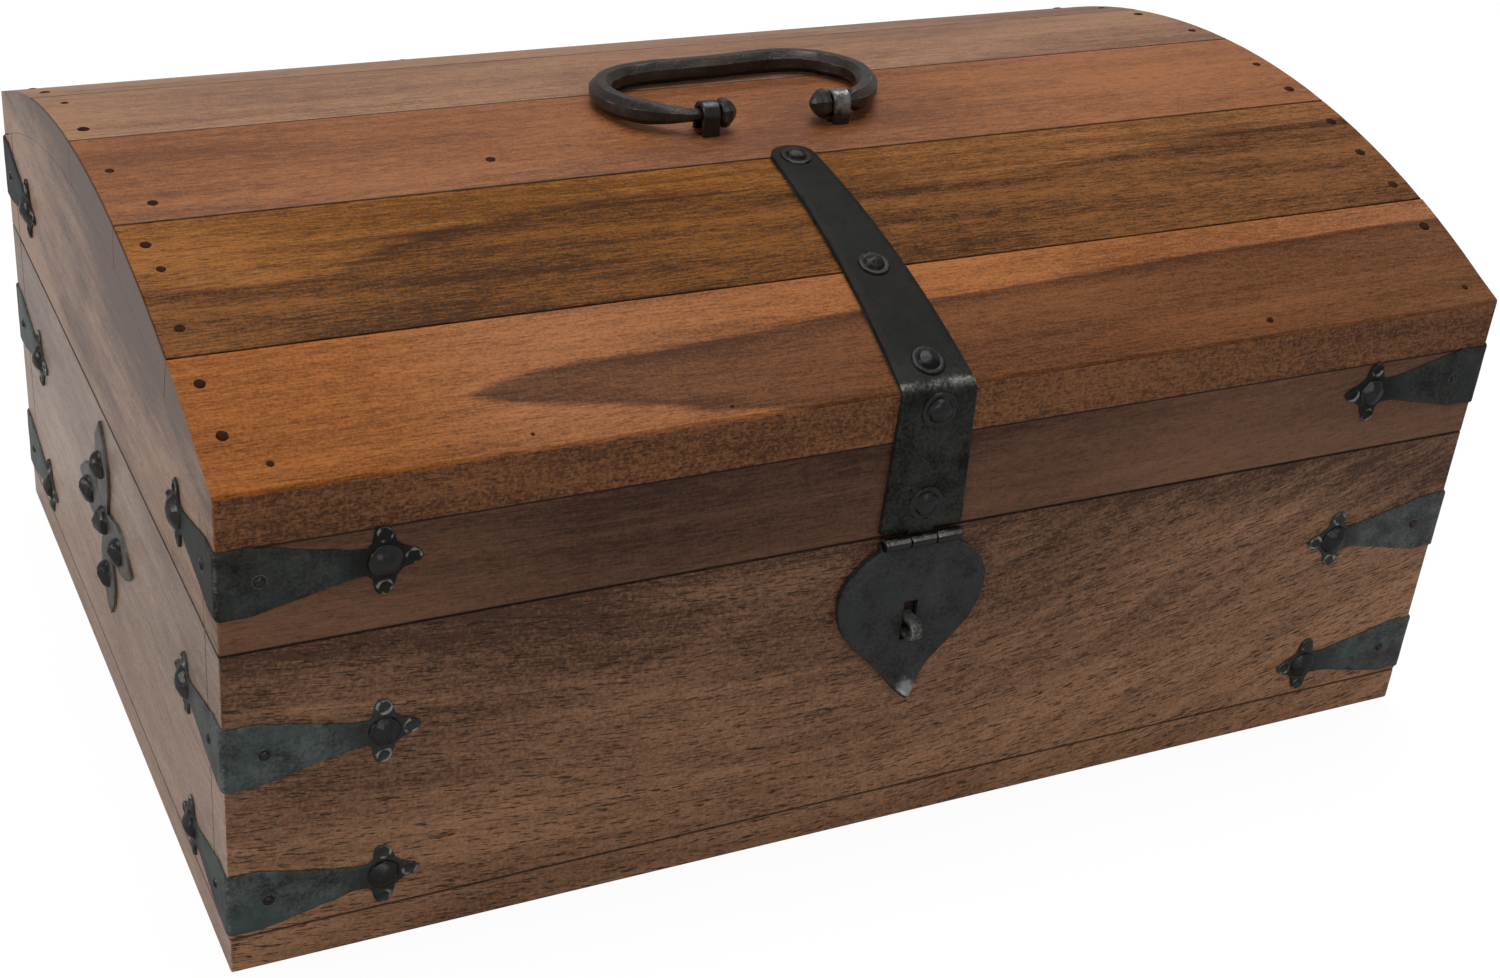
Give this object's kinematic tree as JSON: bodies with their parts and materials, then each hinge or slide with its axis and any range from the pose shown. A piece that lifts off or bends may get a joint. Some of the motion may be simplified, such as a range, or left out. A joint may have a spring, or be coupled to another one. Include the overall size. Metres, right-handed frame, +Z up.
{
  "type": "coffer chest",
  "caption": "Small hardwood coffer with a domed plank lid, iron corner straps, a hinged hasp over a staple and a folding forged handle, for keeping things in.",
  "frame": {"origin": "under the middle of the box, on the surface it stands on", "axes": "+X to the right as seen from the hasp side, +Y to the back where the lid's hinges are, +Z up"},
  "size_m": [0.3624, 0.2495, 0.1687],
  "materials": {
    "dark_hardwood": "oiled, satin",
    "tan_hardwood": "oiled, satin",
    "olive_hardwood": "oiled, satin",
    "red_hardwood": "oiled, satin",
    "black_iron": "waxed black",
    "forged_iron": "hammered"
  },
  "bodies": {
    "base": {"bottom_board": "dark_hardwood", "base_front_board": "dark_hardwood", "base_back_board": "dark_hardwood", "base_left_end_board": "dark_hardwood", "base_right_end_board": "dark_hardwood", "base_upper_strap_front_left": "black_iron", "base_upper_strap_front_right": "black_iron", "base_upper_strap_back_left": "black_iron", "base_upper_strap_back_right": "black_iron", "base_lower_strap_front_left": "black_iron", "base_lower_strap_front_right": "black_iron", "base_lower_strap_back_left": "black_iron", "base_lower_strap_back_right": "black_iron", "base_strap_nails": "black_iron", "base_strap_brads": "black_iron", "left_cross_plate": "black_iron", "right_cross_plate": "black_iron", "cross_plate_nails": "black_iron", "padlock_staple": "black_iron", "left_hinge_base_leaf": "black_iron", "right_hinge_base_leaf": "black_iron", "left_hinge_pin": "black_iron", "right_hinge_pin": "black_iron", "base_hinge_nails": "black_iron"},
    "lid": {"lid_front_board": "dark_hardwood", "lid_back_board": "dark_hardwood", "lid_left_end": "dark_hardwood", "lid_right_end": "dark_hardwood", "lid_plank_1": "tan_hardwood", "lid_plank_2": "olive_hardwood", "lid_plank_3": "red_hardwood", "lid_plank_4": "red_hardwood", "lid_plank_5": "olive_hardwood", "lid_strap_front_left": "black_iron", "lid_strap_front_right": "black_iron", "lid_strap_back_left": "black_iron", "lid_strap_back_right": "black_iron", "lid_strap_nails": "black_iron", "lid_strap_brads": "black_iron", "hasp_strap": "black_iron", "hasp_strap_rivets": "black_iron", "hasp_pin": "black_iron", "left_hinge_lid_leaf": "black_iron", "right_hinge_lid_leaf": "black_iron", "lid_hinge_nails": "black_iron", "left_handle_eye": "forged_iron", "right_handle_eye": "forged_iron"},
    "hasp": {"hasp_plate": "black_iron"},
    "handle": {"handle_bail": "forged_iron"}
  },
  "joints": [
    {"name": "lid_hinge", "type": "hinge", "parent": "base", "child": "lid", "pos_m": [0, 0.1211, 0.09315], "axis": [-1, 0, 0], "range_deg": [0, 105]},
    {"name": "hasp_hinge", "type": "hinge", "parent": "lid", "child": "hasp", "pos_m": [0, -0.1206, 0.0922], "axis": [-1, 0, 0], "range_deg": [0, 160]},
    {"name": "handle_hinge", "type": "hinge", "parent": "lid", "child": "handle", "pos_m": [0.003, -0.013, 0.16459], "axis": [1, 0, 0], "range_deg": [0, 185]}
  ]
}
